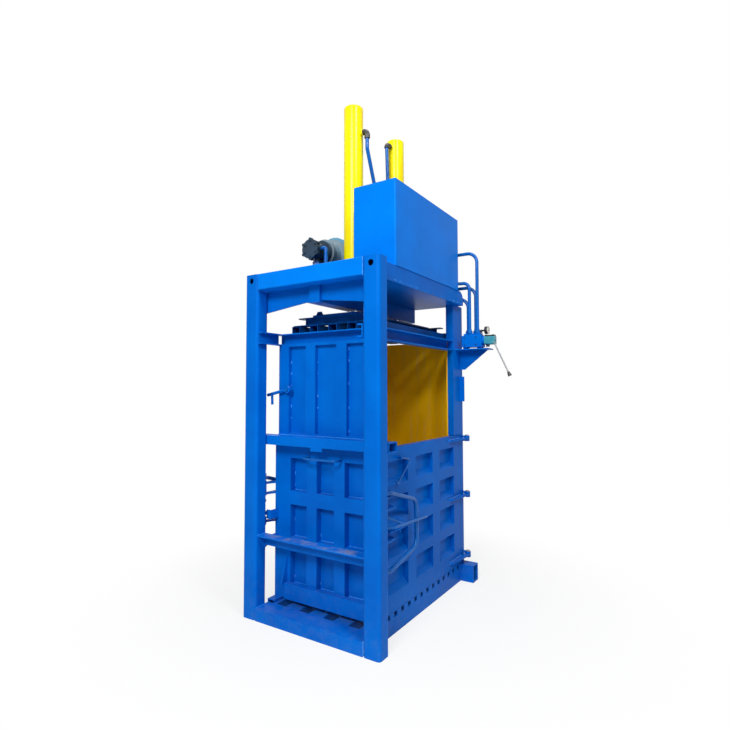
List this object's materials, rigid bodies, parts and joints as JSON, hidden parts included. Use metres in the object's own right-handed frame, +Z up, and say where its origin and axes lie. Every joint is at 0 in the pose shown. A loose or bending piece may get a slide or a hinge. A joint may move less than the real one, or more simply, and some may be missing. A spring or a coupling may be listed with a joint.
{
  "type": "recycling baler",
  "caption": "upright hydraulic recycling baler with a portal frame, grid doors, a feed opening at the side and twin yellow cylinders over the bale chamber",
  "frame": {"origin": "on the floor under the middle of the bale chamber, at the underside of the middle floor slat", "axes": "+Z up, -Y towards the portal and the fixed end wall, +X towards the side with the feed opening and the door with the lever bar"},
  "size_m": [1.4048, 1.516, 3.565],
  "materials": {
    "blue_paint": "satin",
    "yellow_paint": "gloss",
    "chromed_rod": "polished",
    "bare_steel": "brushed",
    "zinc_fastener": "zinc plated",
    "motor_grey": "satin",
    "cast_alloy": "cast",
    "black_iron": "cast and oiled",
    "black_plastic": "moulded",
    "gauge_black": "gloss",
    "teal_cast": "satin"
  },
  "bodies": {
    "root": {"base_sill": "blue_paint", "bell_housing": "cast_alloy", "bottom_side_rails": "blue_paint", "breather_cap": "black_plastic", "cap_side_pipes": "blue_paint", "centre_girder": "blue_paint", "cylinder_flange_bolts": "zinc_fastener", "cylinder_glands": "bare_steel", "deck_plate": "blue_paint", "electric_motor": "motor_grey", "end_top_rails": "blue_paint", "fan_cover": "motor_grey", "floor_slats": "blue_paint", "front_cylinder_barrel": "yellow_paint", "front_left_column": "blue_paint", "front_lower_panel": "blue_paint", "front_panel_handle": "blue_paint", "front_right_column": "blue_paint", "front_upper_panel": "blue_paint", "hinge_brackets": "blue_paint", "hinge_pins": "bare_steel", "hook_lever_bolt": "zinc_fastener", "hydraulic_pump": "black_iron", "latch_keepers": "blue_paint", "left_upper_panel": "blue_paint", "link_channels": "blue_paint", "lock_bar": "blue_paint", "middle_beam": "blue_paint", "motor_base": "blue_paint", "oil_tank": "blue_paint", "portal_top_beam": "blue_paint", "pressure_gauge": "gauge_black", "pressure_pipe": "blue_paint", "rear_cylinder_barrel": "yellow_paint", "rear_foot": "blue_paint", "rear_posts": "blue_paint", "rear_wall": "blue_paint", "return_pipe": "blue_paint", "rod_side_pipes": "blue_paint", "side_top_rails": "blue_paint", "suction_pipe": "blue_paint", "tank_lid": "blue_paint", "top_side_rails": "blue_paint", "valve_block": "blue_paint", "valve_head": "teal_cast", "valve_lever_pin": "zinc_fastener", "valve_shelf": "blue_paint"},
    "right_door": {"right_door": "blue_paint"},
    "right_latch": {"right_latch": "blue_paint", "latch_lever_bar": "blue_paint"},
    "left_door": {"left_door": "blue_paint"},
    "left_latch": {"left_latch": "blue_paint"},
    "stay_hook": {"door_stay_hook": "blue_paint"},
    "ram": {"platen_tubes": "blue_paint", "platen_frame": "blue_paint", "piston_rods": "chromed_rod", "rod_collars": "blue_paint"},
    "valve_lever": {"valve_lever": "bare_steel", "lever_knob": "black_plastic"},
    "hook_lever": {"hook_lever": "blue_paint"}
  },
  "joints": [
    {"name": "ram_slide", "type": "slide", "parent": "root", "child": "ram", "axis": [0, 0, -1], "range_m": [0, 1.1]},
    {"name": "right_door_hinge", "type": "hinge", "parent": "root", "child": "right_door", "pos_m": [0.462, 0.656, 0.668], "axis": [0, 0, 1], "range_deg": [0, 110]},
    {"name": "left_door_hinge", "type": "hinge", "parent": "root", "child": "left_door", "pos_m": [-0.462, 0.656, 0.668], "axis": [0, 0, -1], "range_deg": [0, 110]},
    {"name": "right_latch_turn", "type": "hinge", "parent": "right_door", "child": "right_latch", "pos_m": [0.485, -0.697, 0.675], "axis": [0, 0, -1], "range_deg": [0, 85]},
    {"name": "left_latch_turn", "type": "hinge", "parent": "left_door", "child": "left_latch", "pos_m": [-0.485, -0.697, 0.675], "axis": [0, 0, 1], "range_deg": [0, 85]},
    {"name": "stay_hook_swing", "type": "hinge", "parent": "right_door", "child": "stay_hook", "pos_m": [0.455, -0.441, 1.084], "axis": [1, 0, 0], "range_deg": [-30, 75]},
    {"name": "valve_lever_tilt", "type": "hinge", "parent": "root", "child": "valve_lever", "pos_m": [0.73, 0.575, 1.882], "axis": [0, 1, 0], "range_deg": [-12, 12]},
    {"name": "hook_lever_turn", "type": "hinge", "parent": "root", "child": "hook_lever", "pos_m": [-0.31, -0.656, 1.517], "axis": [0, 1, 0], "range_deg": [-35, 70]}
  ]
}
